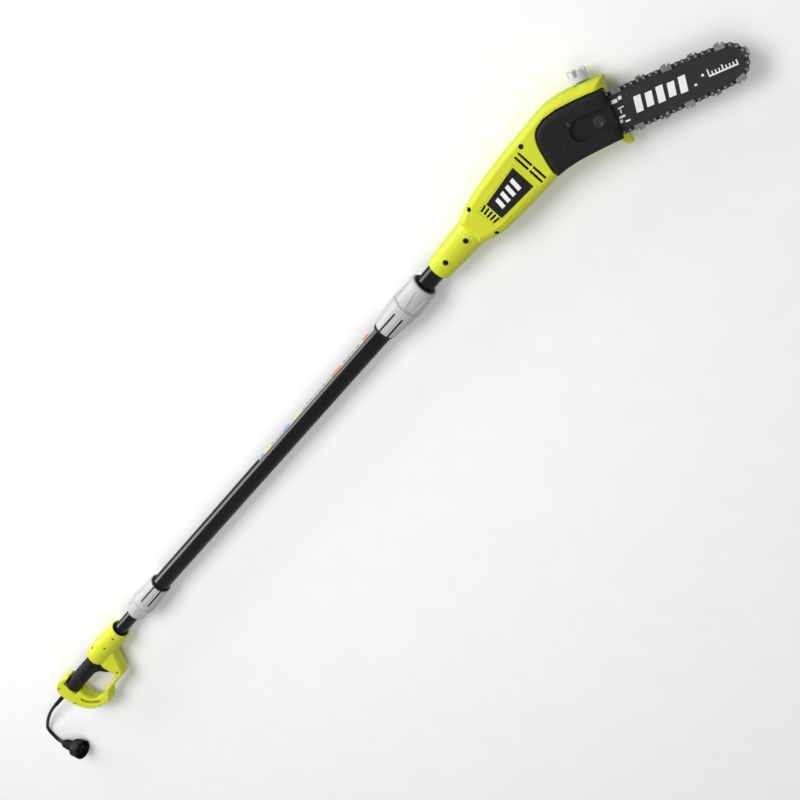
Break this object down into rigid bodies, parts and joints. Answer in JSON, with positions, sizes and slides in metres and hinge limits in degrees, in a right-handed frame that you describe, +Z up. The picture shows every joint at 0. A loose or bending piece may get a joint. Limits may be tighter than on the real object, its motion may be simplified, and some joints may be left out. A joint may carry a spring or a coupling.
{
  "type": "telescoping pole saw",
  "caption": "Corded electric pole saw lying on its side: chainsaw head with guide bar and oil tank on a telescoping pole with twist-lock collars and a D-shaped trigger handle.",
  "frame": {"origin": "centre of the base rectangle of the saw, without its cord and plug, on the surface it lies on", "axes": "+X along the pole towards the saw head, +Y across the pole towards the oil cap's side, +Z up out of the bar cover's side"},
  "size_m": [2.0664, 0.1914, 0.0585],
  "materials": {
    "lime_plastic": "satin moulded, yellow-green",
    "black_paint": "glossy black coating",
    "grey_plastic": "satin moulded, light grey",
    "dark_plastic": "fine-grained, near black",
    "black_rubber": "soft matte",
    "pale_plastic": "milky translucent",
    "steel": "ground and blackened in places",
    "copper": "wound copper"
  },
  "bodies": {
    "handle": {"handle_shell_upper": "lime_plastic", "handle_shell_lower": "lime_plastic", "grip_sleeve": "black_rubber", "lower_tube": "black_paint", "tube_ferrule": "dark_plastic", "switch_module": "dark_plastic", "trigger_pin": "steel", "strain_relief": "black_rubber", "power_cord": "black_rubber", "plug_body": "black_rubber", "plug_insert": "steel", "cable_lower": "dark_plastic"},
    "trigger": {"trigger": "dark_plastic"},
    "lock_button": {"lock_off_button": "dark_plastic"},
    "middle": {"mid_tube": "black_paint", "lower_collar": "grey_plastic", "upper_collar": "grey_plastic", "lower_seal": "dark_plastic", "upper_seal": "dark_plastic", "lower_collet": "dark_plastic", "upper_collet": "dark_plastic", "label_strip": "pale_plastic"},
    "upper_nut": {"upper_lock_nut": "grey_plastic", "upper_wiper": "dark_plastic"},
    "lower_nut": {"lower_lock_nut": "grey_plastic"},
    "head": {"head_shell_upper": "lime_plastic", "head_shell_lower": "lime_plastic", "badge_plate": "dark_plastic", "head_screw_1": "steel", "head_screw_2": "steel", "head_screw_3": "steel", "upper_tube": "black_paint", "cable_upper": "dark_plastic", "bar_cover": "dark_plastic", "bar_stud": "steel", "oil_tank": "pale_plastic", "oil_pump": "dark_plastic", "output_bearing": "steel", "foot_bearing": "steel", "motor_stator": "steel", "brush_ring": "dark_plastic", "rear_bearing": "steel", "front_bearing": "steel", "bar_plate_upper": "dark_plastic", "bar_core": "steel", "bar_plate_lower": "dark_plastic", "chain_drive_links": "steel", "chain_upper_links": "steel", "chain_lower_links": "steel"},
    "rotor": {"armature": "copper", "commutator": "copper", "motor_shaft": "steel", "cooling_fan": "dark_plastic", "pinion": "steel"},
    "drive": {"face_gear": "steel", "output_shaft": "steel", "sprocket": "steel"},
    "oil_cap": {"oil_cap": "pale_plastic"},
    "bar_nut": {"bar_nut": "steel"},
    "tension_screw": {"tension_screw": "steel"}
  },
  "joints": [
    {"name": "middle_slide", "type": "slide", "parent": "handle", "child": "middle", "axis": [1, 0, 0], "range_m": [0, 0.5]},
    {"name": "head_slide", "type": "slide", "parent": "middle", "child": "head", "axis": [1, 0, 0], "range_m": [0, 0.5]},
    {"name": "upper_nut_turn", "type": "hinge", "parent": "middle", "child": "upper_nut", "pos_m": [0.3352, 0.0475, 0.027], "axis": [1, 0, 0], "range_deg": [0, 60]},
    {"name": "lower_nut_turn", "type": "hinge", "parent": "middle", "child": "lower_nut", "pos_m": [-0.6028, 0.0475, 0.027], "axis": [1, 0, 0], "range_deg": [-60, 0]},
    {"name": "trigger_pull", "type": "hinge", "parent": "handle", "child": "trigger", "pos_m": [-0.8058, 0.0375, 0.027], "axis": [0, 0, -1], "range_deg": [0, 9], "stiffness_Nm_per_rad": 1.2, "springref_deg": -8.59},
    {"name": "lock_button_press", "type": "slide", "parent": "handle", "child": "lock_button", "axis": [0, 0, -1], "range_m": [0, 0.003], "stiffness_N_per_m": 600, "springref_m": -0.002},
    {"name": "drive_spin", "type": "hinge", "parent": "head", "child": "drive", "pos_m": [0.70816, 0.03275, 0.027], "axis": [0, 0, 1], "continuous": true},
    {"name": "rotor_spin", "type": "hinge", "parent": "head", "child": "rotor", "pos_m": [0.70816, 0.03275, 0.024], "axis": [0.9951, -0.0988, 0], "continuous": true},
    {"name": "oil_cap_turn", "type": "hinge", "parent": "head", "child": "oil_cap", "pos_m": [0.7632, 0.072, 0.027], "axis": [0.4695, 0.8829, 0], "range_deg": [0, 180]},
    {"name": "bar_nut_turn", "type": "hinge", "parent": "head", "child": "bar_nut", "pos_m": [0.7482, 0.0145, 0.054], "axis": [0, 0, 1], "range_deg": [0, 180]},
    {"name": "tension_screw_turn", "type": "hinge", "parent": "head", "child": "tension_screw", "pos_m": [0.7152, 0.0445, 0.052], "axis": [0, 0, 1], "range_deg": [-180, 180]}
  ],
  "couplings": [
    {"joint": "rotor_spin", "follows": "drive_spin", "ratio": -3}
  ]
}
